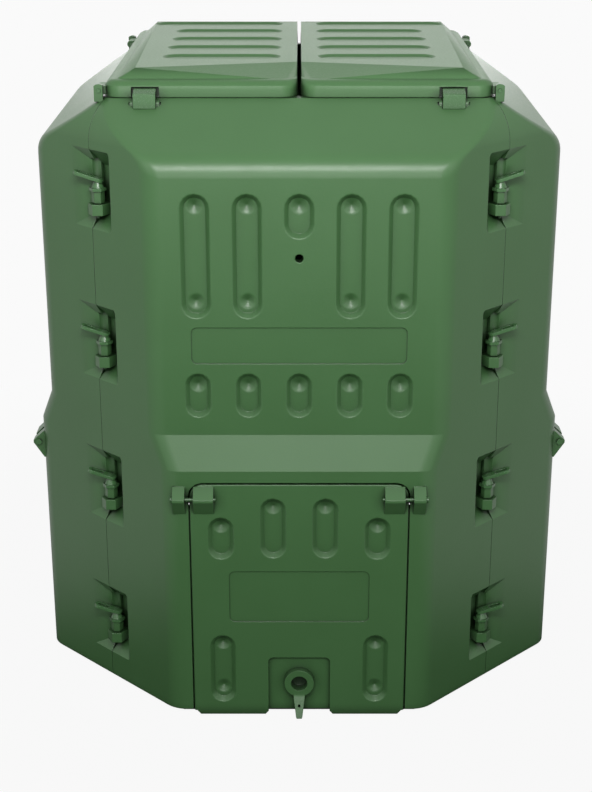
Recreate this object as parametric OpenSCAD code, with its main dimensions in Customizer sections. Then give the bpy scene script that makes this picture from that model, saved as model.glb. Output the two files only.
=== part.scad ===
// Square compost bin of four moulded walls, held at the corners by pull pins with ring handles.
// Each wall has a hatch hung at its top edge, and two lids open outwards to left and right.
// Millimetres. Z is up, the front wall faces -Y and the origin is at the middle of the base.

/* [Walls] */
// Width across the lower part of two opposite walls
bin_w = 850; // [835:1:870]
// Height of the top of the shoulder, where the lids come down
rim_z = 968; // [960:1:985]
// Thickness of the moulded walls
wall_t = 6; // [5:0.5:7]
// How much of each square corner the corner face cuts away
corner_cut = 226; // [215:1:240]
// Radius where a wall turns into its corner face
edge_r = 45; // [30:1:55]
// Height of the lower edge of the wall skin
skin_z = 10; // [7:0.5:12]
// Height where the sloped ledge begins
ledge_z = 425; // [420:1:435]
// Height of the sloped ledge
ledge_h = 52; // [40:1:58]
// How far the ledge steps inwards
ledge_in = 20; // [14:1:22]
// Height of the shoulder above the upper wall
shoulder_h = 75; // [70:1:82]
// Radius of that turn
shoulder_r = 40; // [20:1:50]
// Radius in which the corner face curves into the rim
hip_r = 72; // [68:1:90]
// Height of the curved top of the corner face
hip_h = 63; // [50:1:66]
// Gap between two walls at a corner seam
seam_gap = 0.8; // [0.4:0.1:1.2]
// Height of the neck that stands inside the lids
neck_h = 14; // [10:1:15]

/* [Wall panels] */
// Distance between the middles of the upright slots
slot_pitch = 76; // [70:1:80]
// Depth of the slots
slot_deep = 7.5; // [5:0.5:8]
// Draft of the slot walls, measured sideways
slot_draft = 6.5; // [5:0.5:9]
// Radius that rounds the rim of a slot
slot_lip = 3; // [2:0.5:5]
// Width of the tall slots
tall_slot_w = 44; // [36:1:48]
// Lower end of the tall slots
tall_slot_z0 = 662; // [658:1:680]
// Upper end of the tall slots
tall_slot_z1 = 850; // [840:1:855]
// Lower end of the short slot in the middle
mid_slot_z0 = 783; // [780:1:795]
// Width of the slots in the low row
low_slot_w = 39; // [34:1:44]
// Lower end of the slots in the low row
low_slot_z0 = 505.5; // [500:0.5:508]
// Upper end of the slots in the low row
low_slot_z1 = 576; // [570:1:580]
// Radius of the dimples in the slots
dimple_r = 13.5; // [9:0.5:14]
// Depth of the dimples
dimple_deep = 6; // [3:0.5:6]
// Thickness of the material behind a slot
slot_back = 8.5; // [8:0.5:10]
// Width of the bare plate on the upper wall
plate_w = 322; // [300:1:330]
// Lower edge of the bare plate
plate_z0 = 591; // [588:1:596]
// Upper edge of the bare plate
plate_z1 = 648; // [640:1:652]
// Depth of the bare plates
plate_deep = 1.5; // [1:0.5:2.5]
// Height of the thermometer hole in the front wall
probe_z = 754; // [740:1:760]
// Radius of the thermometer hole
probe_r = 6; // [4:0.5:7]

/* [Corner pins] */
// Height of the lowest corner pocket's middle
pocket_z0 = 113; // [110:1:118]
// Distance of the highest pocket's middle below the top of the shoulder
pocket_drop = 132; // [128:1:140]
// Height of a corner pocket
pocket_h = 121; // [118:1:130]
// Width of the sloped half of a pocket, in the walls at left and right
slope_w = 42; // [38:1:46]
// Depth of the sloped half at the seam
slope_deep = 14.6; // [13:0.2:16]
// Width of the deep half of a pocket, in the front and rear walls
well_w = 46; // [42:1:50]
// Depth of the deep half
well_deep = 27; // [27:0.5:31]
// Depth of the pin's axis below the corner face
pin_deep = 9.6; // [9:0.2:10.4]
// Distance of the pin's axis from the seam, towards the deep half
pin_in = 5; // [4.4:0.2:5.6]
// Radius of the corner pin's shank
pin_r = 4; // [3:0.1:4.5]
// Clearance round a corner pin
pin_gap = 0.3; // [0.2:0.05:0.5]
// Radius of the lower eye, corner to corner
low_eye_r = 15.5; // [13:0.5:16]
// Height of the lower eye
low_eye_h = 17; // [14:0.5:18]
// Radius of the upper eye, corner to corner
top_eye_r = 10; // [9:0.5:12]
// Height of the upper eye
top_eye_h = 18; // [15:0.5:20]
// Radius of the pin's six-sided collar, corner to corner
collar_r = 13; // [11:0.5:14]
// Thickness of the collar
collar_t = 5; // [4:0.5:7]
// Length of the ring handle from the pin's axis
ring_l = 38; // [32:1:42]
// Width of the ring handle
ring_w = 16; // [14:0.5:18]
// Thickness of the ring handle
ring_t = 5; // [4:0.5:6]
// Angle at which the ring handle rises
ring_tilt = 19; // [10:1:25]

/* [Hatches] */
// Width of a hatch opening
door_w = 340; // [330:1:346]
// Height of the top of a hatch opening
door_z = 406; // [402:0.5:412]
// Gap round a hatch
door_gap = 1.5; // [1:0.1:2]
// Gap above a hatch
door_top_gap = 2.5; // [2:0.5:5]
// Height of the hatch hinge's axis
hinge_z = 382; // [378:0.5:386]
// How far the hinge axis stands proud of the wall
hinge_out = 8; // [7:0.5:9]
// Radius of the hatch hinge pins
hinge_pin_r = 3; // [2.5:0.1:3.5]
// Width of a door slot
door_slot_w = 40; // [34:1:44]
// Height of the middle of the turn key
key_z = 60; // [56:1:64]
// Radius of the turn key's disc
key_r = 23.5; // [20:0.5:26]
// Radius of the turn key's shaft
key_shaft_r = 8; // [6:0.5:9]

/* [Lids] */
// Length and overall width of the closed lids
lid_w = 580; // [570:1:584]
// Gap between the two lids
lid_gap = 5; // [4:0.5:10]
// Height of the lid's outer edge above its lower edge
lid_edge_h = 24.5; // [22:0.5:26]
// How far the round edge of the lid runs inwards
lid_round_in = 17; // [14:1:19]
// Height of the round edge of the lid
lid_round_h = 13; // [10:0.5:14]
// How far the flat top rises above the outer edge
lid_rise = 15; // [12:0.5:16]
// Thickness of the lid's top
lid_t = 8; // [7:0.5:9]
// Thickness of the lid's skirt
skirt_t = 5; // [4:0.5:5]
// Radius of the lid's outer corners
lid_corner_r = 24; // [22:0.5:26]
// Width of the slots in the lids
lid_slot_w = 50; // [44:1:54]
// Distance between the slots in the lids
lid_slot_pitch = 97.5; // [94:0.5:99]
// Depth of the slots in the lids
lid_slot_deep = 3.5; // [3:0.5:5.5]
// Height of the lid hinge's axis above the shoulder
lid_axis_up = 10; // [9:0.5:11]
// Radius of the lid hinge pins
lid_pin_r = 3; // [2:0.1:3.5]
// Distance of the lid catches from the middle
catch_x = 228; // [215:1:232]
// Width of a lid catch
catch_w = 33; // [26:1:36]

/* [Hidden] */
CORNERS = ["front_left", "front_right", "rear_left", "rear_right"];
SIDES = ["front", "right", "rear", "left"];

$fn = 48;
wall_green = "#4d7f4f";
fitting_green = "#58895a";
eps = 0.01;
over = 2;
root2 = sqrt(2);

// Half widths of the walls, and the sum of |x| and |y| on a corner face
f_low = bin_w / 2;
f_up = f_low - ledge_in;
corner_sum = bin_w - corner_cut;
rim_f = lid_w / 2 + 1;
rim_edge_r = 16;
neck_step = 10;
neck_f = rim_f - neck_step;
neck_t = 6;
neck_root = 2;
neck_inner_r = 1;
neck_stub = 0.3;
neck_trim = 8;
turn_room = 3.3;
ledge_top = ledge_z + ledge_h;

// The shoulder's side profile is a straight slope that starts in an arc
shoulder_z = rim_z - shoulder_h;
slope_a = atan2(f_up - rim_f, rim_z - shoulder_z);
arc_z0 = shoulder_z - shoulder_r * tan(slope_a / 2);
arc_z1 = arc_z0 + shoulder_r * sin(slope_a);
hip_z = rim_z - hip_h;
shoulder_steps = 16;
edge_steps = 6;
shoulder_drop = 5;

// Slots in the walls
tall_top_dimple = 19;
tall_low_dimple = 25;
low_top_dimple = 20;
door_top_dimple = 17;
slot_rim = 5;
slot_steps = 8;
slot_lead = 0.02;
dimple_tip_r = 1;
dimple_over = 0.5;
plate_corner_r = 9;
probe_chamfer = 1;
probe_boss_r = 14;
slot_root = 3;

// Corner pockets, measured from a pocket's middle upwards
pocket_n = 4;
pocket_pitch = (rim_z - pocket_drop - pocket_z0) / (pocket_n - 1);
pocket_floor_t = 5;
pocket_corner_r = 10;
slope_rise = 0.6;
well_rise = 1;
well_draft = 3;
rib_t = 11.5;
rib_h = 102;
pin_x = corner_sum / 2 - (pin_deep + pin_in) / root2;
pin_y = corner_sum / 2 - (pin_deep - pin_in) / root2;
pin_travel = 24;
eye_room = 0.8;
web_share = 0.75;
web_l = 19;
web_w = 12;
low_eye_z = -39;
eye_gap = 1;
top_eye_z = low_eye_z + low_eye_h + eye_gap;
collar_z = top_eye_z + top_eye_h + pin_gap;
pin_tip = 6;
pin_tip_r = 2.5;
pin_neck_r = [10, 5];
pin_neck_l = 11;
ring_sink = 2;
ring_z = collar_z + collar_t + pin_neck_l;
ring_wall = 4.5;
ring_hole_x = 13;
ring_hole_r = 3.2;
ring_corner_r = 7;

// Hatches
door_slots = [[-121, 277, 348], [121, 277, 348], [-40.3, 279, 380], [40.3, 279, 380],
              [-121, 24, 144], [121, 24, 144]];
door_corner_r = 22;
door_z0 = 8;
door_round = [0.9, 3];
hinge_y = f_low + hinge_out;
wall_lug_x = [175, 194];
door_lug_x = [131, 162];
lug_drop = 6;
lug_top_z = door_z - lug_drop;
lug_low = 28;
lug_out = 9;
lug_nose = 2;
lug_root = 4;
hinge_gap = 0.3;
hinge_fit = 0.1;
hinge_pin_x = [127.5, 197.3];
hinge_head_r = 5;
hinge_head_t = 3;
lip_x = [54, 158];
lip_z = 1;
lip_slant = 8;
door_plate = [219, 168, 256];
key_recess = [98, 12, 104];
key_recess_deep = 5.5;
key_recess_r = 8;
key_boss_t = 13;
key_proud = 6;
key_hole_r = 13;
key_hole_deep = 19;
key_tube_r = 16;
key_tube_out = 3;
key_gap = 0.4;
key_tail_l = 56;
key_tail_w = [9, 5];
key_tail_hole = 37;
key_tail_hole_r = 2.2;
key_bend = 0.8;
key_chamfer = [1, 2];
key_tip_out = 14;
key_tip_t = 8;
cam_l = 60;
cam_w = 18;
cam_corner_r = 6;
cam_t = 6;
cam_gap = 1;
cam_seat = 2;
cam_fit = 0.1;
cam_pin_out = 1;
stop_x0 = 160;
stop_x1 = 187;
stop_gap = 0.6;
stop_z = 358;
sill_x = 187;
sill_in = 16;
sill_t = 12;
sill_z = 14;
cam_f = f_low - sill_in - sill_t - cam_gap;

// Lids
lid_f = lid_w / 2;
lid_z = rim_z + 0.8;
lid_edge_z = lid_z + lid_edge_h;
lid_top_z = lid_edge_z + lid_rise;
lid_front_in = 85;
lid_side_in = 46;
lid_side_turn = 28;
lid_side_rear = 10;
lid_rear_in = 20;
lid_mid_in = 3.2;
lid_mid_draft = 0.5;
lid_inner_r = 25;
lid_base_h = lid_edge_h - lid_round_h;
lid_round_steps = 4;
lid_crown_sink = 1;
lid_hollow_in = 7;
lid_hollow_up = 1.5;
lid_slot_n = 5;
lid_slot_x0 = 28;
lid_slot_x1 = 212;
lid_slot_draft = 5;
lid_slot_longer = 44;
neck_notch = 19;
lid_slot_y0 = -150;
lid_corner_steps = 6;
lid_axis_x = lid_f + 7;
lid_axis_z = rim_z + lid_axis_up;
ear_t = 7.5;
ear_y1 = lid_f - 2;
ear_y0 = ear_y1 - ear_t;
ear_r = 10;
ear_x = [7, 6];
ear_foot = 16;
ear_rear_in = 45;
ear_room = 0.3;
knuckle_r = 6;
knuckle_l = 36;
knuckle_gap = 0.5;
knuckle_root = 3;
lid_pin_gap = 0.3;
lid_pin_fit = 0.1;
lid_pin_out = 1;

// Lid catches
catch_y = rim_f + 9;
catch_drop = 7;
catch_z = rim_z - catch_drop;
catch_notch = 41;
catch_notch_z = lid_z + 15;
catch_pin_r = 3;
catch_gap = 0.3;
catch_lug_t = 5;
catch_lug_r = 5.3;
catch_well_r = 11.8;
catch_room = 0.3;
catch_back_t = 5;
catch_root = 1;
catch_outline = [[-10, -5.4], [-10, 15], [-8, 16.8], [9, 21.2], [11, 17], [11, 8.5], [7, 8.5],
                 [11.2, 0], [8, -8], [0, -11.3], [-7, -9]];

// Half width of a wall at height z
function wall_f(z) =
    z <= ledge_z ? f_low
    : z <= ledge_top ? f_low - ledge_in * (z - ledge_z) / ledge_h
    : z <= arc_z0 ? f_up
    : z <= arc_z1 ? f_up - shoulder_r + sqrt(max(0, pow(shoulder_r, 2) - pow(z - arc_z0, 2)))
    : f_up - (z - shoulder_z) * tan(slope_a);

// Sum of |x| and |y| on the corner face at height z
function wall_sum(z) =
    z <= hip_z ? corner_sum
    : corner_sum - root2 * (hip_r - sqrt(pow(hip_r, 2) - pow(z - hip_z, 2)));

// Radius of the upright edges at height z
function wall_r(z) =
    z <= arc_z0 ? edge_r : edge_r + (rim_edge_r - edge_r) * (z - arc_z0) / (rim_z - arc_z0);

function arc(cx, cy, r, a0, a1, n) =
    [for (i = [0:n]) let (a = a0 + (a1 - a0) * i / n) [cx + r * cos(a), cy + r * sin(a)]];

// Plan of a wall's surface from one corner seam to the other, as points [x, distance outwards]
function wall_path(f, s, r) =
    let (
        rr = min(r, (f - s / 2) * turn_room),
        x0 = s - f + rr - rr * root2,
        g = seam_gap / root2 / 2,
        half = concat([[s / 2 - g, s / 2 + g]], arc(x0, f - rr, rr, 45, 90, edge_steps)),
        n = len(half)
    )
    concat(half, [for (i = [1:n]) [-half[n - i][0], half[n - i][1]]]);

function raise(path, z) = [for (p = path) [p[0], -p[1], z]];

// Faces of a shell between an outer and an inner stack of m paths with n points each
function quad(a, b, c, d) = [[a, b, c], [a, c, d]];
function shell_faces(m, n) =
    let (
        o = function (i, j) i * n + j,
        p = function (i, j) (m + i) * n + j
    )
    [
        for (i = [0:m - 2], j = [0:n - 2]) each quad(o(i, j), o(i, j + 1), o(i + 1, j + 1), o(i + 1, j)),
        for (i = [0:m - 2], j = [0:n - 2]) each quad(p(i, j), p(i + 1, j), p(i + 1, j + 1), p(i, j + 1)),
        for (j = [0:n - 2]) each quad(o(m - 1, j), o(m - 1, j + 1), p(m - 1, j + 1), p(m - 1, j)),
        for (j = [0:n - 2]) each quad(o(0, j), p(0, j), p(0, j + 1), o(0, j + 1)),
        for (i = [0:m - 2]) each quad(o(i, 0), o(i + 1, 0), p(i + 1, 0), p(i, 0)),
        for (i = [0:m - 2])
            each quad(o(i, n - 1), p(i, n - 1), p(i + 1, n - 1), o(i + 1, n - 1))
    ];

// Bare skin of one wall: it faces -Y and ends at the two corner seams
module wall_skin() {
    levels = concat([skin_z, ledge_z, ledge_top],
        [for (i = [0:shoulder_steps]) arc_z0 + (rim_z - arc_z0) * i / shoulder_steps]);
    drop = function (z) shoulder_drop * max(0, z - arc_z0) / (rim_z - arc_z0);
    outer = [for (z = levels) raise(wall_path(wall_f(z), wall_sum(z), wall_r(z)), z)];
    inner = [for (z = levels)
        raise(wall_path(wall_f(z) - wall_t, wall_sum(z) - wall_t * root2, wall_r(z) - wall_t), z - drop(z))];
    rim_sum = wall_sum(rim_z);
    neck_sum = rim_sum - neck_step * root2 - neck_trim;
    neck_out = wall_path(neck_f, neck_sum, rim_edge_r - neck_step);
    neck_in = wall_path(neck_f - neck_t, neck_sum - neck_t * root2, neck_inner_r);
    outer_all = concat(outer, [raise(neck_out, rim_z), raise(neck_out, rim_z + neck_h)]);
    inner_all = concat(inner, [raise(neck_in, rim_z - neck_root), raise(neck_in, rim_z + neck_h)]);
    points = concat([for (r = outer_all) each r], [for (r = inner_all) each r]);
    polyhedron(points, shell_faces(len(outer_all), len(outer_all[0])));
}

// Upright slot outline, centred on x
function slot_path(x, z0, z1, w) =
    concat(
        arc(x, z1 - w / 2, w / 2, 0, 180, slot_steps),
        arc(x, z0 + w / 2, w / 2, 180, 360, slot_steps)
    );

// Depth and inset of each ring of a slot, from above the face over the rounded rim to the floor
function slot_profile(deep, draft) =
    let (
        a = atan2(deep, draft),
        back = slot_lip * tan(a / 2)
    )
    [
        [-over, -back],
        [-slot_lead, -back],
        [slot_lip * (1 - cos(a / 2)), slot_lip * sin(a / 2) - back],
        [slot_lip * (1 - cos(a)), slot_lip * sin(a) - back],
        [deep, draft]
    ];

// Cutter for an upright slot with drafted walls, in a face that lies at y = 0 and looks to -Y
module slot_cut(x, z0, z1, w, deep, draft) {
    rings = [for (p = slot_profile(deep, draft))
        [for (q = slot_path(x, z0 + p[1], z1 - p[1], w - 2 * p[1])) [q[0], p[0], q[1]]]];
    m = len(rings);
    n = len(rings[0]);
    faces = concat(
        [[for (i = [0:n - 1]) n - 1 - i]],
        [[for (i = [0:n - 1]) (m - 1) * n + i]],
        [for (j = [0:m - 2], i = [0:n - 1])
            each quad(j * n + i, j * n + (i + 1) % n, (j + 1) * n + (i + 1) % n, (j + 1) * n + i)]
    );
    polyhedron([for (r = rings) each r], faces);
}

module draft_cut(x, z0, z1, w, f) {
    translate([0, -f, 0])
        slot_cut(x, z0, z1, w, slot_deep, slot_draft);
}

// Puts a flat outline drawn in x and z on the plane at distance f and gives it thickness inwards
module from_face(f, t) {
    translate([0, -f, 0])
        rotate([90, 0, 0])
            translate([0, 0, -t])
                linear_extrude(t)
                    children();
}

module slot_boss(x, z0, z1, w, f) {
    from_face(f - slot_root, slot_deep + slot_back - slot_root)
        polygon(slot_path(x, z0 - slot_rim, z1 + slot_rim, w + 2 * slot_rim));
}

// Cone in the floor of a slot
module dimple(x, z, f) {
    slope = (dimple_r - dimple_tip_r) / dimple_deep;
    translate([x, -f + slot_deep + dimple_deep, z])
        rotate([90, 0, 0])
            cylinder(r1 = dimple_tip_r, r2 = dimple_r + slope * dimple_over, h = dimple_deep + dimple_over);
}

module round_rect(x0, x1, z0, z1, r) {
    polygon(concat(
        arc(x1 - r, z1 - r, r, 0, 90, slot_steps),
        arc(x0 + r, z1 - r, r, 90, 180, slot_steps),
        arc(x0 + r, z0 + r, r, 180, 270, slot_steps),
        arc(x1 - r, z0 + r, r, 270, 360, slot_steps)
    ));
}

// Every slot of the upper wall as [x, low end, high end, width, heights of its dimples]
function wall_slots() = concat(
    [for (i = [-2, -1, 1, 2]) [i * slot_pitch, tall_slot_z0, tall_slot_z1, tall_slot_w,
        [tall_slot_z1 - tall_top_dimple, tall_slot_z0 + tall_low_dimple]]],
    [[0, mid_slot_z0, tall_slot_z1, tall_slot_w, [tall_slot_z1 - tall_top_dimple]]],
    [for (i = [-2:2]) [i * slot_pitch, low_slot_z0, low_slot_z1, low_slot_w,
        [low_slot_z1 - low_top_dimple]]]
);

// Moves to a corner seam: +X runs along the corner face into this wall, -Y runs into the bin
module at_seam() {
    for (s = [0, 1])
        mirror([s, 0, 0])
            translate([corner_sum / 2, -corner_sum / 2, 0])
                rotate(225)
                    children();
}

function pocket_z(i) = pocket_z0 + i * pocket_pitch;

// Room of one half pocket, grown by a distance. A wall at left or right has the sloped half, which
// runs in to the seam, and a wall at front or rear has the deep half with a flat floor.
module pocket_room(z, side, grow) {
    w = (side ? slope_w : well_w) + grow;
    deep = (side ? slope_deep : well_deep) + grow;
    rise = side ? slope_rise : well_rise;
    h = pocket_h / 2 + grow;
    lead = over * (side ? w / deep : well_draft / deep);
    intersection() {
        translate([0, 0, z - pocket_h])
            linear_extrude(2 * pocket_h)
                polygon([
                    [-over, over], [w + lead, over],
                    [side ? 0 : w - well_draft, -deep], [-over, -deep]
                ]);
        rotate([90, 0, 90])
            translate([0, 0, -over])
                linear_extrude(2 * pocket_h)
                    polygon([
                        [over, z + h + over / rise],
                        [-deep, z + h - deep / rise],
                        [-deep, z - h + deep / rise],
                        [over, z - h - over / rise]
                    ]);
        translate([0, over, 0])
            rotate([90, 0, 0])
                linear_extrude(deep + 2 * over)
                    round_rect(-pocket_h, w + lead, z - h - over / rise, z + h + over / rise,
                        pocket_corner_r);
    }
}

// Material behind one half pocket, and in a wall at left or right the rib that closes the deep half
module pocket_back(z, side) {
    intersection() {
        pocket_room(z, side, pocket_floor_t);
        translate([seam_gap / 2, -pocket_h - slot_root, z - pocket_h])
            cube([pocket_h, pocket_h, 2 * pocket_h]);
    }
    if (side)
        translate([seam_gap / 2, -well_deep - pocket_floor_t, z - rib_h / 2])
            cube([rib_t, well_deep + pocket_floor_t - slot_root, rib_h]);
}

// Place of a pin's axis seen from one wall's half of a pocket
module at_pin(z, side) {
    translate([side ? -pin_in : pin_in, -pin_deep, z])
        children();
}

// Hollow of one half pocket, with room in the sloped half for the wide eye and the moving collar
module pocket_cut(z, side) {
    pocket_room(z, side, 0);
    if (side)
        at_pin(z, side) {
            translate([0, 0, low_eye_z - eye_room])
                cylinder(r = low_eye_r + eye_room, h = low_eye_h + 2 * eye_room);
            translate([0, 0, collar_z - eye_gap])
                cylinder(r = collar_r + eye_room, h = ring_z - collar_z + pin_travel + ring_w / 2);
        }
}

// One eye of a corner joint, with the web that carries it. The walls at front and rear have the
// wide lower eyes, and the walls at the sides have the slim upper ones.
module eye(z, side) {
    h = side ? top_eye_h : low_eye_h;
    at_pin(z + (side ? top_eye_z : low_eye_z), side) {
        rotate(side ? 165 : 135)
            cylinder(r = side ? top_eye_r : low_eye_r, h = h, $fn = 6);
        if (side)
            rotate(-atan2(well_deep + pocket_floor_t / 2 - pin_deep, pin_in + rib_t))
                translate([0, -web_w / 2, 0])
                    cube([web_l, web_w, h]);
        if (!side)
            translate([seam_gap / 2 - pin_in, pin_deep - well_deep - over, 0])
                cube([pin_in + low_eye_r * web_share, well_deep - pin_deep + over, h]);
    }
}

module eye_bore(z, side) {
    at_pin(z + low_eye_z - pin_tip - over, side)
        cylinder(r = pin_r + pin_gap, h = pin_tip + low_eye_h + eye_gap + top_eye_h + 2 * over);
}

// Outline of a hatch hinge lug seen along the hinge, as [distance outwards, height]
lug_outline = [
    [f_low - lug_root, hinge_z - lug_low],
    [f_low, hinge_z - lug_low],
    [hinge_y + lug_out, hinge_z - lug_nose],
    [hinge_y + lug_out, hinge_z + lug_nose],
    [f_low, lug_top_z],
    [f_low - lug_root, lug_top_z]
];

// A lug between two distances from the middle
module lug(x) {
    translate([x[0], 0, 0])
        rotate([90, 0, 90])
            linear_extrude(x[1] - x[0])
                polygon([for (p = lug_outline) [-p[0], p[1]]]);
}

module hinge_bore(x, r) {
    translate([x[0] - over, -hinge_y, hinge_z])
        rotate([0, 90, 0])
            cylinder(r = r, h = x[1] - x[0] + 2 * over);
}

// Opening for a hatch, open at the bottom
module door_hole() {
    from_face(f_low + over, wall_t + stop_gap + over)
        round_rect(-door_w / 2, door_w / 2, -door_w, door_z, door_corner_r);
}

// The stops behind the sides of the hatch, and the sill that the wall stands on
module door_frame() {
    for (s = [0, 1])
        mirror([s, 0, 0]) {
            translate([stop_x0, -f_low + wall_t - over, skin_z])
                cube([stop_x1 - stop_x0, sill_in + sill_t - wall_t + over, stop_z - skin_z]);
        }
    translate([-sill_x, -f_low + sill_in, 0])
        cube([2 * sill_x, sill_t, sill_z]);
}

// How far a lid hinge lies further in than the front one
function hinge_in(rear) = rear ? ear_rear_in : 0;

// Ears that carry the lid hinge pins, on the walls at left and right. The rear is towards +X here
// in the wall at right, and towards -X in the wall at left.
module lid_ears(right) {
    for (s = [0, 1])
        mirror([s, 0, 0])
            translate([ear_y0 - hinge_in(right ? s == 0 : s == 1), -lid_axis_x, lid_axis_z])
                rotate([90, 0, 90])
                    difference() {
                        linear_extrude(ear_t)
                            intersection() {
                                union() {
                                    circle(r = ear_r);
                                    translate([-ear_r, -ear_foot])
                                        square([2 * ear_r, ear_foot]);
                                }
                                translate([-ear_x[0], -ear_foot])
                                    square([ear_x[0] + ear_x[1], ear_foot + ear_r]);
                            }
                        translate([0, 0, -over])
                            cylinder(r = lid_pin_r + lid_pin_fit, h = ear_t + 2 * over);
                    }
}

// Block below the shoulder that holds the well of a lid catch
module catch_back() {
    w = catch_notch / 2 + catch_lug_t + wall_t;
    deep = catch_drop + catch_well_r + catch_back_t;
    low = catch_y + catch_well_r + catch_back_t;
    slope = (rim_z - shoulder_z) / (f_up - rim_f);
    translate([-w, 0, 0])
        rotate([90, 0, 90])
            linear_extrude(2 * w)
                polygon([
                    [-low, rim_z - (low - rim_f) * slope - catch_root],
                    [-rim_f, rim_z - catch_root],
                    [-neck_f + neck_t - catch_root, rim_z - catch_root],
                    [-neck_f + neck_t - catch_root, rim_z - deep],
                    [-low, rim_z - deep - (low - rim_f) * slope]
                ]);
}

module catch_lugs() {
    for (s = [0, 1])
        mirror([s, 0, 0])
            translate([catch_w / 2 + catch_room, -catch_y, catch_z])
                rotate([90, 0, 90])
                    linear_extrude(catch_lug_t)
                        union() {
                            circle(r = catch_lug_r);
                            polygon([[-catch_lug_r, 0], [catch_lug_r, 0],
                                [catch_lug_r, -catch_well_r], [-catch_lug_r, -catch_well_r]]);
                        }
}

// Cuts round a lid catch: its well and the holes for its pivots
module catch_cut() {
    translate([-catch_w / 2 - catch_room, -catch_y, catch_z])
        rotate([0, 90, 0])
            cylinder(r = catch_well_r, h = catch_w + 2 * catch_room);
    translate([-catch_w / 2 - catch_room - catch_lug_t - over, -catch_y, catch_z])
        rotate([0, 90, 0])
            cylinder(r = catch_pin_r + catch_gap, h = catch_w + 2 * (catch_room + catch_lug_t + over));
}

// Takes the neck away where the corners of the two lids come down beside each other
module neck_cut() {
    translate([-lid_inner_r, -rim_f, rim_z + neck_stub])
        cube([2 * lid_inner_r, rim_f / 2, neck_h + over]);
}

// Wall number i. Those at the sides have lid ears and slim eyes, and those at the front and rear
// have catches and wide eyes. The front one has the thermometer hole.
module wall(i) {
    side = i % 2 == 1;
    probe = i == 0;
    color(wall_green) {
        difference() {
            union() {
                wall_skin();
                for (s = wall_slots())
                    slot_boss(s[0], s[1], s[2], s[3], f_up);
                at_seam()
                    for (k = [0:pocket_n - 1])
                        pocket_back(pocket_z(k), side);
                door_frame();
                for (s = [0, 1])
                    mirror([s, 0, 0])
                        lug(wall_lug_x);
                if (probe)
                    from_face(f_up - slot_root, slot_deep + slot_back - slot_root)
                        translate([0, probe_z])
                            circle(r = probe_boss_r);
                if (side)
                    lid_ears(i == 1);
                if (!side)
                    for (s = [-1, 1])
                        translate([s * catch_x, 0, 0])
                            catch_back();
            }
            for (s = wall_slots()) {
                draft_cut(s[0], s[1], s[2], s[3], f_up);
                for (z = s[4])
                    dimple(s[0], z, f_up);
            }
            from_face(f_up + over, plate_deep + over)
                round_rect(-plate_w / 2, plate_w / 2, plate_z0, plate_z1, plate_corner_r);
            at_seam()
                for (k = [0:pocket_n - 1])
                    pocket_cut(pocket_z(k), side);
            if (!side) {
                at_seam()
                    for (k = [0:pocket_n - 1])
                        eye_bore(pocket_z(k), side);
                neck_cut();
            }
            door_hole();
            for (s = [0, 1])
                mirror([s, 0, 0])
                    hinge_bore(wall_lug_x, hinge_pin_r + hinge_fit);
            if (probe)
                translate([0, -f_up - over, probe_z])
                    rotate([-90, 0, 0]) {
                        cylinder(r = probe_r, h = slot_deep + slot_back + 2 * over);
                        cylinder(r1 = probe_r + probe_chamfer + over, r2 = probe_r,
                            h = probe_chamfer + over);
                    }
            if (!side)
                for (s = [-1, 1])
                    translate([s * catch_x, 0, 0])
                        catch_cut();
        }
        difference() {
            union() {
                at_seam()
                    for (k = [0:pocket_n - 1])
                        eye(pocket_z(k), side);
                if (!side)
                    for (s = [-1, 1])
                        translate([s * catch_x, 0, 0])
                            catch_lugs();
            }
            at_seam()
                for (k = [0:pocket_n - 1])
                    eye_bore(pocket_z(k), side);
            if (!side)
                for (s = [-1, 1])
                    translate([s * catch_x, 0, 0])
                        catch_cut();
        }
    }
}

// Outline of a hatch, smaller by a distance at its sides and top
module door_outline(inset) {
    w = door_w / 2 - door_gap - inset;
    round_rect(-w, w, door_z0, door_z - door_top_gap - inset, door_corner_r - door_gap - inset);
    translate([-w, door_z0])
        square([2 * w, door_corner_r + over]);
}

// A hatch with rounded edges: it hangs from two lugs near its top and has a boss for its turn key
module hatch() {
    color(wall_green) {
        difference() {
            union() {
                hull() {
                    from_face(f_low, eps)
                        door_outline(door_round[1]);
                    from_face(f_low - door_round[0], eps)
                        door_outline(door_round[0]);
                    from_face(f_low - door_round[1], wall_t - door_round[1])
                        door_outline(0);
                }
                for (s = door_slots)
                    slot_boss(s[0], s[1], s[2], door_slot_w - slot_rim, f_low);
                for (s = [0, 1])
                    mirror([s, 0, 0]) {
                        lug(door_lug_x);
                        from_face(f_low, wall_t)
                            polygon([
                                [lip_x[0], lip_z], [lip_x[1], lip_z],
                                [lip_x[1] + lip_slant, door_z0 + over],
                                [lip_x[0] - lip_slant, door_z0 + over]
                            ]);
                    }
                from_face(f_low - slot_root, key_boss_t - slot_root)
                    round_rect(-key_recess[0] / 2 - slot_rim, key_recess[0] / 2 + slot_rim,
                        key_recess[1] - over, key_recess[2] + slot_rim, key_recess_r + slot_rim);
            }
            for (s = door_slots) {
                draft_cut(s[0], s[1], s[2], door_slot_w, f_low);
                dimple(s[0], s[2] - door_top_dimple, f_low);
                if (s[2] < door_plate[1])
                    dimple(s[0], s[1] + tall_low_dimple, f_low);
            }
            from_face(f_low + over, plate_deep + over)
                round_rect(-door_plate[0] / 2, door_plate[0] / 2, door_plate[1], door_plate[2],
                    plate_corner_r);
            from_face(f_low + over, key_recess_deep + over)
                round_rect(-key_recess[0] / 2, key_recess[0] / 2, -key_recess[1], key_recess[2],
                    key_recess_r);
            translate([0, -f_low - over, key_z])
                rotate([-90, 0, 0])
                    cylinder(r = key_tube_r + key_gap, h = key_boss_t + 2 * over);
            for (s = [0, 1])
                mirror([s, 0, 0])
                    hinge_bore(door_lug_x, hinge_pin_r + hinge_gap);
        }
    }
}

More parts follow.
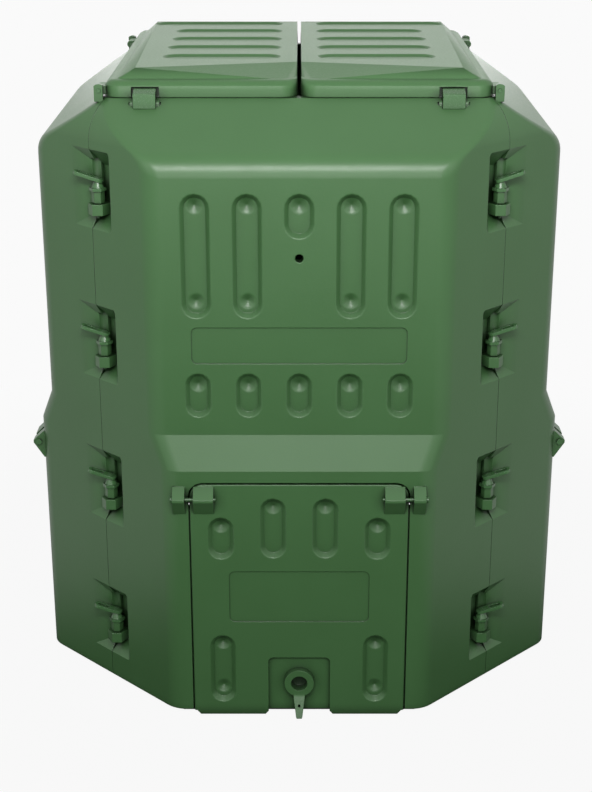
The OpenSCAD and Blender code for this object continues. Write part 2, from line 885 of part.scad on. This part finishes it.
// The two headed pins of a hatch hinge
module hatch_pins() {
    color(fitting_green)
        for (s = [0, 1])
            mirror([s, 0, 0])
                translate([hinge_pin_x[0], -hinge_y, hinge_z])
                    rotate([0, 90, 0]) {
                        cylinder(r = hinge_pin_r, h = hinge_pin_x[1] - hinge_pin_x[0]);
                        translate([0, 0, hinge_pin_x[1] - hinge_pin_x[0] - hinge_head_t])
                            cylinder(r = hinge_head_r, h = hinge_head_t);
                    }
}

// Turn key: a disc with a deep blind hole and a tail to turn it by, on a tube that fills the hole
// in the hatch and ends in a shaft
module key() {
    face = f_low - key_recess_deep + key_gap;
    front = f_low + key_proud;
    tip = front + key_tip_out;
    color(fitting_green) {
        difference() {
            union() {
                translate([0, -front, key_z])
                    rotate([-90, 0, 0])
                        cylinder(r = key_r, h = front - face);
                translate([0, -face - eps, key_z])
                    rotate([-90, 0, 0]) {
                        cylinder(r = key_tube_r, h = face - f_low + key_boss_t + key_tube_out + eps);
                        cylinder(r = key_shaft_r, h = face - cam_f + eps);
                        cylinder(r = key_shaft_r - cam_seat, h = face - cam_f + cam_t + cam_pin_out);
                    }
                intersection() {
                    from_face(tip + over, tip - face + over)
                        polygon([
                            [-key_r / 2, key_z], [key_r / 2, key_z],
                            [key_tail_w[0], key_z - key_r],
                            [key_tail_w[1], key_z - key_tail_l + key_chamfer[1]],
                            [key_tail_w[1] - key_chamfer[0], key_z - key_tail_l],
                            [key_chamfer[0] - key_tail_w[1], key_z - key_tail_l],
                            [-key_tail_w[1], key_z - key_tail_l + key_chamfer[1]],
                            [-key_tail_w[0], key_z - key_r]
                        ]);
                    translate([-key_r, 0, 0])
                        rotate([90, 0, 90])
                            linear_extrude(2 * key_r)
                                polygon([
                                    [-face, key_z], [-front, key_z], [-front, key_z - key_r * key_bend],
                                    [-tip, key_z - key_tail_l], [key_tip_t - tip, key_z - key_tail_l],
                                    [-face, key_z - key_r]
                                ]);
                }
            }
            translate([0, -front - over, key_z])
                rotate([-90, 0, 0])
                    cylinder(r = key_hole_r, h = key_hole_deep + over);
            translate([0, -tip - over, key_z - key_tail_hole])
                rotate([-90, 0, 0])
                    cylinder(r = key_tail_hole_r, h = tip - face + 2 * over);
        }
    }
}

// Cam behind the hatch, level when the hatch is free to open
module cam() {
    color(fitting_green) {
        difference() {
            from_face(cam_f, cam_t)
                round_rect(-(cam_l + cam_w) / 2, cam_w / 2, key_z - cam_w / 2, key_z + cam_w / 2,
                    cam_corner_r);
            translate([0, -cam_f - over, key_z])
                rotate([-90, 0, 0])
                    cylinder(r = key_shaft_r - cam_seat + cam_fit, h = cam_t + 2 * over);
        }
    }
}

// Corner pull pin about its own axis, with its ring handle towards +X
module pull_pin() {
    translate([0, 0, low_eye_z])
        cylinder(r = pin_r, h = collar_z - low_eye_z + eps);
    translate([0, 0, low_eye_z - pin_tip])
        cylinder(r1 = pin_tip_r, r2 = pin_r, h = pin_tip);
    translate([0, 0, collar_z])
        cylinder(r = collar_r, h = collar_t, $fn = 6);
    translate([0, 0, collar_z + collar_t - eps])
        cylinder(r1 = pin_neck_r[0], r2 = pin_neck_r[1], h = ring_z - collar_z - collar_t);
    translate([0, 0, ring_z - ring_sink])
        rotate([0, -ring_tilt, 0])
            linear_extrude(ring_t)
                difference() {
                    round_rect(-ring_w / 2, ring_l, -ring_w / 2, ring_w / 2, ring_corner_r);
                    round_rect(ring_hole_x, ring_l - ring_wall, -ring_w / 2 + ring_wall,
                        ring_w / 2 - ring_wall, ring_hole_r);
                }
}

// A corner pin in its place, with its ring handle pointing to the side of the bin
module corner_pin(corner, i) {
    sx = (corner == 0 || corner == 2) ? -1 : 1;
    sy = corner < 2 ? -1 : 1;
    color(fitting_green)
        translate([sx * pin_x, sy * pin_y, pocket_z(i)])
            mirror([sx < 0 ? 1 : 0, 0, 0])
                pull_pin();
}

// Outline of a lid in plan, smaller by one distance at its outer sides and another at the middle
function lid_plan(inset, mid) =
    let (
        f = lid_f - inset,
        r = lid_corner_r - inset,
        x0 = lid_gap / 2 + mid,
        q = lid_inner_r - mid
    )
    concat(
        arc(x0 + q, -f + q, q, 180, 270, lid_corner_steps),
        arc(f - r, -f + r, r, -90, 0, lid_corner_steps),
        arc(f - r, f - r, r, 0, 90, lid_corner_steps),
        arc(x0 + q, f - q, q, 90, 180, lid_corner_steps)
    );

// Thin slice of a lid's outline at height z
module lid_slice(inset, mid, z) {
    translate([0, 0, z - eps])
        linear_extrude(eps)
            polygon(lid_plan(inset, mid));
}

// Lower part of a lid: an upright skirt that turns inwards in a round edge
module lid_base() {
    hull() {
        lid_slice(0, 0, lid_z + eps);
        for (i = [0:lid_round_steps])
            let (a = 90 * i / lid_round_steps)
            lid_slice(lid_round_in * (1 - cos(a)), lid_mid_draft * i / lid_round_steps,
                lid_z + lid_base_h + lid_round_h * sin(a));
    }
}

// Hollow of the lower part, with sloped upper edges
module lid_hollow() {
    hull() {
        lid_slice(skirt_t, skirt_t, lid_z - over);
        lid_slice(skirt_t, skirt_t, lid_z + lid_base_h + lid_hollow_up);
        lid_slice(skirt_t + lid_hollow_in, skirt_t, lid_edge_z - lid_t);
    }
}

// Faceted crown of a lid, from its round edge up to the flat top
module lid_crown(inset, drop) {
    hull() {
        lid_slice(lid_round_in + inset, lid_mid_draft + inset, lid_edge_z - drop - lid_crown_sink);
        translate([0, 0, lid_top_z - drop - eps])
            linear_extrude(eps)
                polygon([
                    [lid_mid_in + inset, -lid_f + lid_front_in],
                    [lid_f - lid_side_in, -lid_f + lid_side_turn],
                    [lid_f - lid_side_in + lid_side_rear, lid_f - lid_rear_in - inset],
                    [lid_mid_in + inset, lid_f - lid_rear_in - inset]
                ]);
    }
}

// The right-hand lid: a skirt and a crown, five slots, two knuckles, and room for catches and ears
module lid() {
    color(wall_green) {
        difference() {
            union() {
                difference() {
                    union() {
                        lid_base();
                        lid_crown(0, 0);
                    }
                    lid_hollow();
                    lid_crown(skirt_t, lid_t);
                }
                for (s = [-1, 1])
                    translate([lid_axis_x, s * (ear_y0 - hinge_in(s > 0) - knuckle_gap - knuckle_l / 2),
                        lid_axis_z])
                        rotate([90, 0, 0])
                            translate([0, 0, -knuckle_l / 2]) {
                                cylinder(r = knuckle_r, h = knuckle_l);
                                translate([lid_f - lid_axis_x - knuckle_root, -knuckle_r, 0])
                                    cube([lid_axis_x - lid_f + knuckle_root, 2 * knuckle_r, knuckle_l]);
                            }
            }
            for (i = [0:lid_slot_n - 1])
                translate([0, lid_slot_y0 + i * lid_slot_pitch, lid_top_z])
                    rotate([-90, 0, 0])
                        rotate([0, 90, 0])
                            slot_cut(0, lid_slot_x0,
                                lid_slot_x1 + (i == lid_slot_n - 1 ? lid_slot_longer : 0),
                                lid_slot_w, lid_slot_deep, lid_slot_draft);
            for (s = [0, 1])
                mirror([0, s, 0]) {
                    translate([catch_x - catch_notch / 2, -lid_f - over, lid_z - over])
                        cube([catch_notch, neck_notch + over, catch_notch_z - lid_z + over]);
                    translate([lid_axis_x, hinge_in(s == 1) - ear_y0 - over, lid_axis_z])
                        rotate([-90, 0, 0])
                            cylinder(r = lid_pin_r + lid_pin_gap, h = knuckle_l + 2 * over);
                    translate([lid_axis_x, hinge_in(s == 1) - ear_y1 - ear_room, lid_axis_z])
                        rotate([-90, 0, 0])
                            cylinder(r = ear_r + ear_room, h = ear_t + 2 * ear_room);
                }
        }
    }
}

// The hinge pins of the right-hand lid, one at the front and one at the rear
module lid_pins() {
    color(fitting_green)
        for (s = [0, 1])
            mirror([0, s, 0])
                translate([lid_axis_x, hinge_in(s == 1) - ear_y1 - lid_pin_out, lid_axis_z])
                    rotate([-90, 0, 0])
                        cylinder(r = lid_pin_r, h = ear_t + knuckle_l + lid_pin_out);
}

// A lid catch about the middle of its width
module catch() {
    color(wall_green) {
        translate([-catch_w / 2, -catch_y, catch_z])
            rotate([90, 0, 90])
                linear_extrude(catch_w)
                    polygon(catch_outline);
        translate([-catch_w / 2 - catch_room - catch_lug_t, -catch_y, catch_z])
            rotate([0, 90, 0])
                cylinder(r = catch_pin_r, h = catch_w + 2 * (catch_room + catch_lug_t));
    }
}

module on_side(i) {
    rotate(90 * i)
        children();
}

module on_corner(corner) {
    sx = (corner == 0 || corner == 2) ? -1 : 1;
    sy = corner < 2 ? -1 : 1;
    mirror([0, sy > 0 ? 1 : 0, 0])
        translate([sx * catch_x, 0, 0])
            children();
}

for (i = [0:3]) {
    on_side(i) wall(i);
    on_side(i) hatch();
    on_side(i) hatch_pins();
    on_side(i) key();
    on_side(i) cam();
}
for (c = [0:3]) {
    for (i = [0:pocket_n - 1])
        corner_pin(c, i);
    on_corner(c) catch();
}
lid();  // right_lid
mirror([1, 0, 0]) lid();  // left_lid
lid_pins();  // right_lid_pins
mirror([1, 0, 0]) lid_pins();  // left_lid_pins
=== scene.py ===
from math import radians

import bmesh
import bpy
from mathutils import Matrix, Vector


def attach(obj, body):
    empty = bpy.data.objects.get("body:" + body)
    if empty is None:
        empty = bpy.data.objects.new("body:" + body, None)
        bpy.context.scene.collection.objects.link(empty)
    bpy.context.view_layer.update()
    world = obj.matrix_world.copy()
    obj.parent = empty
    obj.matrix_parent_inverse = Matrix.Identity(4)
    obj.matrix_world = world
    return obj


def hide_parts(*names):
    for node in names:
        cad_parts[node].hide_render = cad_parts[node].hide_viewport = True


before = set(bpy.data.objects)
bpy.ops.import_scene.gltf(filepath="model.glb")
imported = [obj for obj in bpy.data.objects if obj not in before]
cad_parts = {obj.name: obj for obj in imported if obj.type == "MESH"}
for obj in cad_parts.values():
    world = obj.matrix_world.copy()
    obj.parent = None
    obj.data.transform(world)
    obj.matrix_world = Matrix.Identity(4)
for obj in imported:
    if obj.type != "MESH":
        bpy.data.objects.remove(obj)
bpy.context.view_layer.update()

# ---------------------------------------------------------------------------
# Camera
# A long lens on a stand in front of the bin, a little above its lids, looking down at it.
# ---------------------------------------------------------------------------
PHOTO_W, PHOTO_H = 592, 792
EYE = Vector((0.0, -2.6774, 1.380))
LOOK_DOWN = radians(20.68)
FOCAL_PX = 1607.64
AXIS_PX = (299.2, 407.22)
SENSOR_MM = 36.0
CLIP_NEAR, CLIP_FAR = 0.05, 60

lens = bpy.data.cameras.new("photo_lens")
lens.sensor_width = SENSOR_MM
lens.sensor_fit = "AUTO"
lens.lens = FOCAL_PX * SENSOR_MM / PHOTO_H
lens.shift_x = (PHOTO_W / 2 - AXIS_PX[0]) / PHOTO_H
lens.shift_y = (AXIS_PX[1] - PHOTO_H / 2) / PHOTO_H
lens.clip_start = CLIP_NEAR
lens.clip_end = CLIP_FAR
camera = bpy.data.objects.new("photo_camera", lens)
camera.location = EYE
camera.rotation_euler = (radians(90) - LOOK_DOWN, 0, 0)
bpy.context.scene.collection.objects.link(camera)
bpy.context.scene.camera = camera

# ---------------------------------------------------------------------------
# Surround
# A white room that the camera and reflections see in full, but that lights the bin only a
# little, so that the lamps shape it.
# ---------------------------------------------------------------------------
WHITE = "#fafafa"
SURROUND_LIGHT = 0.10
bpy.context.scene.view_settings.view_transform = "Standard"


def linear(hex_colour):
    """sRGB hex colour as linear red, green, blue and alpha."""
    parts = [int(hex_colour[i : i + 2], 16) / 255 for i in (1, 3, 5)]
    return [p / 12.92 if p <= 0.04045 else ((p + 0.055) / 1.055) ** 2.4 for p in parts] + [1.0]


def add(tree, kind, fields=None, inputs=None):
    """Adds a shader node, sets its fields, and fills or links its inputs."""
    node = tree.nodes.new("ShaderNode" + kind)
    for name, value in (fields or {}).items():
        setattr(node, name, value)
    for name, value in (inputs or {}).items():
        if isinstance(value, bpy.types.NodeSocket):
            tree.links.new(value, node.inputs[name])
        else:
            node.inputs[name].default_value = value
    return node


world = bpy.data.worlds.new("white_surround")
world.use_nodes = True
bpy.context.scene.world = world
tree = world.node_tree
tree.nodes.clear()
path = add(tree, "LightPath")
seen = add(tree, "Math", {"operation": "MAXIMUM"},
           {0: path.outputs["Is Camera Ray"], 1: path.outputs["Is Glossy Ray"]})
seen = add(tree, "Math", {"operation": "MAXIMUM"},
           {0: seen.outputs[0], 1: path.outputs["Is Transmission Ray"]})
level = add(tree, "MapRange", {}, {"Value": seen.outputs[0], "To Min": SURROUND_LIGHT, "To Max": 1.0})
sky = add(tree, "Background", {}, {"Color": linear(WHITE), "Strength": level.outputs["Result"]})
add(tree, "OutputWorld", {}, {"Surface": sky.outputs[0]})

# ---------------------------------------------------------------------------
# Floor
# A large sheet of white paper. The camera sees it almost as white as the surround, with the
# bin's faint shadow near it. Inside the bin's base it is plain paper in the shade.
# ---------------------------------------------------------------------------
FLOOR_SIZE = 12.0
SHADOW_NEAR, SHADOW_FAR = 0.65, 1.35
GLOW_NEAR = 0.97
BASE_HALF, BASE_CORNER = 0.400, 0.598
BOARD_NEAR, BOARD_FAR, BOARD_GLOW = 0.36, 0.85, 0.75
PAPER_WHITE, PAPER_BOUNCE = "#ececec", "#606060"
# Sockets of a Mix node that mixes two colours.
MIX_SHARE, MIX_FROM, MIX_TO = 0, 6, 7


def new_material(name):
    """An empty material with a node tree."""
    material = bpy.data.materials.new(name)
    material.use_nodes = True
    material.node_tree.nodes.clear()
    return material


def floor_paper():
    """Matt paper that glows for the camera outside the bin's base, and in reflections at its sides."""
    material = new_material("matt_paper_roll")
    tree = material.node_tree
    path = add(tree, "LightPath")
    camera_ray, glossy_ray = path.outputs["Is Camera Ray"], path.outputs["Is Glossy Ray"]
    place = add(tree, "TexCoord").outputs["Object"]

    away = add(tree, "VectorMath", {"operation": "LENGTH"}, {0: place})
    fade = add(tree, "MapRange", {"interpolation_type": "SMOOTHSTEP"},
               {"Value": away.outputs["Value"], "From Min": SHADOW_NEAR, "From Max": SHADOW_FAR,
                "To Min": GLOW_NEAR, "To Max": 1.0})

    span = add(tree, "VectorMath", {"operation": "ABSOLUTE"}, {0: place})
    span = add(tree, "SeparateXYZ", {}, {"Vector": span.outputs["Vector"]})
    wide, deep = span.outputs["X"], span.outputs["Y"]
    flank = add(tree, "Math", {"operation": "MAXIMUM"}, {0: wide, 1: deep})
    flank = add(tree, "Math", {"operation": "GREATER_THAN"}, {0: flank.outputs[0], 1: BASE_HALF})
    corner = add(tree, "Math", {"operation": "ADD"}, {0: wide, 1: deep})
    corner = add(tree, "Math", {"operation": "GREATER_THAN"}, {0: corner.outputs[0], 1: BASE_CORNER})
    outside = add(tree, "Math", {"operation": "MAXIMUM"}, {0: flank.outputs[0], 1: corner.outputs[0]})

    share = add(tree, "Math", {"operation": "MULTIPLY"}, {0: camera_ray, 1: fade.outputs["Result"]})
    share = add(tree, "Math", {"operation": "MULTIPLY"}, {0: share.outputs[0], 1: outside.outputs[0]})
    board = add(tree, "MapRange", {"interpolation_type": "SMOOTHSTEP"},
                {"Value": wide, "From Min": BOARD_NEAR, "From Max": BOARD_FAR, "To Max": BOARD_GLOW})
    board = add(tree, "Math", {"operation": "MULTIPLY"}, {0: glossy_ray, 1: board.outputs["Result"]})
    share = add(tree, "Math", {"operation": "MAXIMUM"}, {0: share.outputs[0], 1: board.outputs[0]})

    sheet = add(tree, "Mix", {"data_type": "RGBA"},
                {MIX_SHARE: camera_ray, MIX_FROM: linear(PAPER_BOUNCE), MIX_TO: linear(PAPER_WHITE)})
    diffuse = add(tree, "BsdfDiffuse", {}, {"Color": sheet.outputs["Result"]})
    glow = add(tree, "Emission", {}, {"Color": linear(WHITE), "Strength": 1.0})
    mix = add(tree, "MixShader", {}, {0: share.outputs[0], 1: diffuse.outputs[0], 2: glow.outputs[0]})
    add(tree, "OutputMaterial", {}, {"Surface": mix.outputs[0]})
    return material


bm = bmesh.new()
bmesh.ops.create_grid(bm, x_segments=1, y_segments=1, size=FLOOR_SIZE / 2)
floor_mesh = bpy.data.meshes.new("floor")
bm.to_mesh(floor_mesh)
bm.free()
floor_mesh.materials.append(floor_paper())
floor = bpy.data.objects.new("floor", floor_mesh)
bpy.context.scene.collection.objects.link(floor)

# ---------------------------------------------------------------------------
# Lamps
# A key lamp above the front draws the shoulder's bright band, and a softer one lights the
# front wall. Two at the sides draw the upright edges, and two light the lids and the rear.
# ---------------------------------------------------------------------------
KEY_SPREAD = 130
ALL_ROUND = 180


def lamp(name, place, target, size, power, spread=ALL_ROUND):
    """A rectangular lamp at a place, turned to a target: metres, watts and degrees."""
    light = bpy.data.lights.new(name, "AREA")
    light.shape = "RECTANGLE"
    light.size, light.size_y = size
    light.energy = power
    light.spread = radians(spread)
    thing = bpy.data.objects.new(name, light)
    thing.location = place
    thing.rotation_euler = (Vector(target) - Vector(place)).to_track_quat("-Z", "Y").to_euler()
    bpy.context.scene.collection.objects.link(thing)


lamp("key_lamp", (0, -2.3, 2.15), (0, -0.42, 2.0), (1.4, 0.5), 30, KEY_SPREAD)
lamp("front_lamp", (0, -4.3, 1.0), (0, -0.42, 0.6), (2.2, 1.0), 27)
lamp("left_lamp", (-2.3, -2.5, 1.7), (0, 0, 0.9), (0.4, 1.2), 7)
lamp("right_lamp", (2.3, -2.5, 1.7), (0, 0, 0.9), (0.4, 1.2), 7)
lamp("back_lamp", (0, 2.8, 2.4), (0, 0, 0.8), (2.6, 1.0), 12)
lamp("rear_lamp", (0, 3.6, 1.0), (0, 0.42, 0.6), (2.2, 1.0), 26)

# ---------------------------------------------------------------------------
# Walls
# Four injection-moulded polyethylene walls that meet at the corners. The mould has a fine
# grain, and all its edges are slightly rounded so that the wall comes out of it.
# ---------------------------------------------------------------------------
SIDES = ("front", "right", "rear", "left")

# Points closer than MERGE become one. Faces that turn less than FLAT form one flat area.
MERGE = 1e-5
FLAT = radians(0.5)
# Edges that turn more than CREASE stay sharp. Between two areas of more than LARGE square
# metres, and along the ledge at these heights, an edge stays sharp from LARGE_CREASE on.
CREASE = radians(28)
LARGE = 5e-3
LARGE_CREASE = radians(8)
LEDGE_EDGES = (0.425, 0.477)

WALL_GREEN, WALL_DARK = "#4d7949", "#477142"
WALL_ROUGH = 0.36
# Patches of slightly darker green where the melt cooled first, and a slow sag of the skin.
FLOW_SIZE = 0.11
SAG_SIZE, SAG_DEPTH, SAG_STRENGTH = 0.16, 0.0018, 0.5
# The grain is finer on the real bin, and is drawn as coarse as it needs to show.
WALL_GRAIN_MM, WALL_GRAIN_DEEP_MM = 3.6, 0.20
GRAIN_LOW, GRAIN_HIGH, GRAIN_STRENGTH = 0.3, 0.7, 0.6
GRAIN_SHINE, GRAIN_DULL = 0.04, 0.05
WALL_EDGE_MM = 1.5
# Painted shade: surfaces with others within RECESS_REACH in front of them have their colour darkened
# towards the dark green below, standing in for the shade that falls in slots, pockets and seams.
RECESS_REACH = 0.022
RECESS_FULL, RECESS_NONE = 0.30, 0.97
PAINTED_SHADE_GREEN = "#12240f"
POLYOLEFIN_IOR = 1.51


def moulded_green(name, colour, dark, rough, grain_mm, grain_deep_mm, edge_mm):
    """Green moulded polyolefin: a satin skin with a grain and soft edges, with shade painted darker
    into its recesses.
    """
    material = new_material(name)
    tree = material.node_tree
    place = add(tree, "TexCoord").outputs["Object"]

    flow = add(tree, "TexNoise", {},
               {"Vector": place, "Scale": 1 / FLOW_SIZE, "Detail": 2.0, "Roughness": 0.5})
    tint = add(tree, "Mix", {"data_type": "RGBA"},
               {MIX_SHARE: flow.outputs["Fac"], MIX_FROM: linear(dark), MIX_TO: linear(colour)})
    # Painted shade: occlusion darkens the colour towards the dark green wherever other surfaces are
    # near, as shade in recesses.
    room = add(tree, "AmbientOcclusion", {"samples": 8}, {"Distance": RECESS_REACH})
    painted_shade = add(tree, "MapRange", {},
                 {"Value": room.outputs["AO"], "From Min": RECESS_FULL, "From Max": RECESS_NONE,
                  "To Min": 1.0, "To Max": 0.0})
    tint = add(tree, "Mix", {"data_type": "RGBA"},
               {MIX_SHARE: painted_shade.outputs["Result"], MIX_FROM: tint.outputs["Result"],
                MIX_TO: linear(PAINTED_SHADE_GREEN)})

    grain = add(tree, "TexNoise", {},
                {"Vector": place, "Scale": 1000 / grain_mm, "Detail": 3.0, "Roughness": 0.6})
    skin = add(tree, "MapRange", {},
               {"Value": grain.outputs["Fac"], "From Min": GRAIN_LOW, "From Max": GRAIN_HIGH,
                "To Min": rough - GRAIN_SHINE, "To Max": rough + GRAIN_DULL})
    soft = add(tree, "Bevel", {"samples": 6}, {"Radius": edge_mm / 1000})
    fine = add(tree, "Bump", {},
               {"Height": grain.outputs["Fac"], "Distance": grain_deep_mm / 1000,
                "Strength": GRAIN_STRENGTH, "Normal": soft.outputs["Normal"]})
    sag = add(tree, "TexNoise", {}, {"Vector": place, "Scale": 1 / SAG_SIZE, "Detail": 1.0})
    wave = add(tree, "Bump", {},
               {"Height": sag.outputs["Fac"], "Distance": SAG_DEPTH, "Strength": SAG_STRENGTH,
                "Normal": fine.outputs["Normal"]})

    plastic = add(tree, "BsdfPrincipled", {},
                  {"Base Color": tint.outputs["Result"], "Roughness": skin.outputs["Result"],
                   "Normal": wave.outputs["Normal"], "IOR": POLYOLEFIN_IOR})
    add(tree, "OutputMaterial", {}, {"Surface": plastic.outputs["BSDF"]})
    return material


def flat_areas(bm):
    """Numbers the bmesh's flat areas, and gives the size and normal of each."""
    area_of, areas = {}, []
    for start in bm.faces:
        if start.index in area_of:
            continue
        area_of[start.index] = len(areas)
        total, todo = 0.0, [start]
        while todo:
            face = todo.pop()
            total += face.calc_area()
            for edge in face.edges:
                for other in edge.link_faces:
                    if other.index not in area_of and other.normal.angle(start.normal, 0.0) < FLAT:
                        area_of[other.index] = len(areas)
                        todo.append(other)
        areas.append((total, start.normal.copy()))
    return area_of, areas


def mark_sharp(bm, crease, area_of, areas, crisp):
    """Marks sharp edges: over the crease, at a crisp height, or clear between large areas."""
    for edge in bm.edges:
        angle = edge.calc_face_angle(crease)
        large = all(areas[area_of[face.index]][0] > LARGE for face in edge.link_faces)
        level = any(all(abs(vert.co.z - z) < MERGE * 10 for vert in edge.verts) for z in crisp)
        edge.smooth = angle < (LARGE_CREASE if large or level else crease)


def corner_normals(bm, area_of, areas):
    """A normal for each corner: large flat areas stay flat, and rounded strips between them blend."""
    fans = {}
    for vert in bm.verts:
        left = set(vert.link_faces)
        while left:
            fan, todo = [], [left.pop()]
            while todo:
                face = todo.pop()
                fan.append(face)
                for edge in face.edges:
                    if vert not in edge.verts or not edge.smooth:
                        continue
                    for other in edge.link_faces:
                        if other in left:
                            left.remove(other)
                            todo.append(other)
            normal = Vector()
            for number in {area_of[face.index] for face in fan}:
                size, direction = areas[number]
                normal += direction * size
            for face in fan:
                fans[face.index, vert.index] = normal.normalized()
    return [fans[face.index, loop.vert.index] for face in bm.faces for loop in face.loops]


def moulded_copy(node, name, body, material, crease=CREASE, crisp=()):
    """A smoothly shaded copy of a CAD node, which rides on a body and is shown in its place."""
    bm = bmesh.new()
    bm.from_mesh(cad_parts[node].data)
    bmesh.ops.remove_doubles(bm, verts=bm.verts, dist=MERGE)
    bmesh.ops.dissolve_degenerate(bm, edges=bm.edges, dist=MERGE)
    bm.faces.ensure_lookup_table()
    bm.faces.index_update()
    bm.verts.index_update()
    area_of, areas = flat_areas(bm)
    mark_sharp(bm, crease, area_of, areas, crisp)
    for face in bm.faces:
        face.smooth = True
        face.material_index = 0
    normals = corner_normals(bm, area_of, areas)

    mesh = bpy.data.meshes.new(name)
    bm.to_mesh(mesh)
    bm.free()
    mesh.normals_split_custom_set(normals)
    mesh.materials.append(material)
    piece = bpy.data.objects.new(name, mesh)
    bpy.context.scene.collection.objects.link(piece)
    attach(piece, body)
    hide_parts(node)


# Polyethylene from the mould: a dark leaf green with a broad, soft shine.
wall_plastic = moulded_green("injection_moulded_polyethylene", WALL_GREEN, WALL_DARK, WALL_ROUGH,
                             WALL_GRAIN_MM, WALL_GRAIN_DEEP_MM, WALL_EDGE_MM)
for side in SIDES:
    moulded_copy(side + "_wall", side + "_wall_moulding", "walls", wall_plastic,
                 crisp=LEDGE_EDGES)

# ---------------------------------------------------------------------------
# Hatches
# A moulded flap low in each wall, with lugs that hang on two pins and a recess for its key.
# ---------------------------------------------------------------------------
for side in SIDES:
    moulded_copy(side + "_hatch", side + "_hatch_moulding", side + "_hatch", wall_plastic)

# ---------------------------------------------------------------------------
# Hatch hinge pins
# Two headed pins stay in each wall's lugs, and the hatch turns on them. They are moulded
# from polypropylene, like the other small fittings.
# ---------------------------------------------------------------------------
FITTING_GREEN, FITTING_DARK = "#527f4f", "#4b7548"
FITTING_ROUGH = 0.25
FITTING_GRAIN_MM, FITTING_GRAIN_DEEP_MM = 1.6, 0.03
FITTING_EDGE_MM = 0.8

# Polypropylene: a little brighter and smoother than the walls, with small clear highlights.
fitting_plastic = moulded_green("injection_moulded_polypropylene", FITTING_GREEN, FITTING_DARK,
                                FITTING_ROUGH, FITTING_GRAIN_MM, FITTING_GRAIN_DEEP_MM,
                                FITTING_EDGE_MM)
for side in SIDES:
    moulded_copy(side + "_hatch_pins", side + "_hatch_hinge_pins", "walls", fitting_plastic)

# ---------------------------------------------------------------------------
# Turn keys and cams
# A key in the foot of each hatch, of the same plastic as the hatch, and the cam that it
# turns behind the hatch.
# ---------------------------------------------------------------------------
for side in SIDES:
    moulded_copy(side + "_key", side + "_turn_key", side + "_key", wall_plastic)
    moulded_copy(side + "_cam", side + "_key_cam", side + "_key", fitting_plastic)

# ---------------------------------------------------------------------------
# Corner pins
# Four pull pins with rings down each corner hold two walls together by their eyes.
# ---------------------------------------------------------------------------
CORNERS = ("front_left", "front_right", "rear_left", "rear_right")
PINS_EACH = 4

for corner in CORNERS:
    for number in range(1, PINS_EACH + 1):
        pin = f"{corner}_pin_{number}"
        moulded_copy(pin, pin + "_with_ring", pin, fitting_plastic)

# ---------------------------------------------------------------------------
# Lid catches
# A thumb block near each outer corner of the lids, front and rear, that tips in its well.
# ---------------------------------------------------------------------------
for corner in CORNERS:
    moulded_copy(corner + "_catch", corner + "_lid_catch", corner + "_catch", fitting_plastic)

# ---------------------------------------------------------------------------
# Lids
# Two moulded lids with a crowned top, five long slots each and a straight skirt.
# ---------------------------------------------------------------------------
LID_SIDES = ("left", "right")
LID_CREASE = radians(24)
LID_ROUGH = 0.50

# The walls' polyethylene with a matter skin, which spreads its shine over the whole top.
lid_plastic = moulded_green("matt_moulded_polyethylene", WALL_GREEN, WALL_DARK, LID_ROUGH,
                            WALL_GRAIN_MM, WALL_GRAIN_DEEP_MM, WALL_EDGE_MM)
for side in LID_SIDES:
    moulded_copy(side + "_lid", side + "_lid_moulding", side + "_lid", lid_plastic,
                 LID_CREASE)

# ---------------------------------------------------------------------------
# Lid hinge pins
# A pin at the front and the rear of each lid's outer edge, held in the walls' ears.
# ---------------------------------------------------------------------------
for side in LID_SIDES:
    moulded_copy(side + "_lid_pins", side + "_lid_hinge_pins", "walls", fitting_plastic)
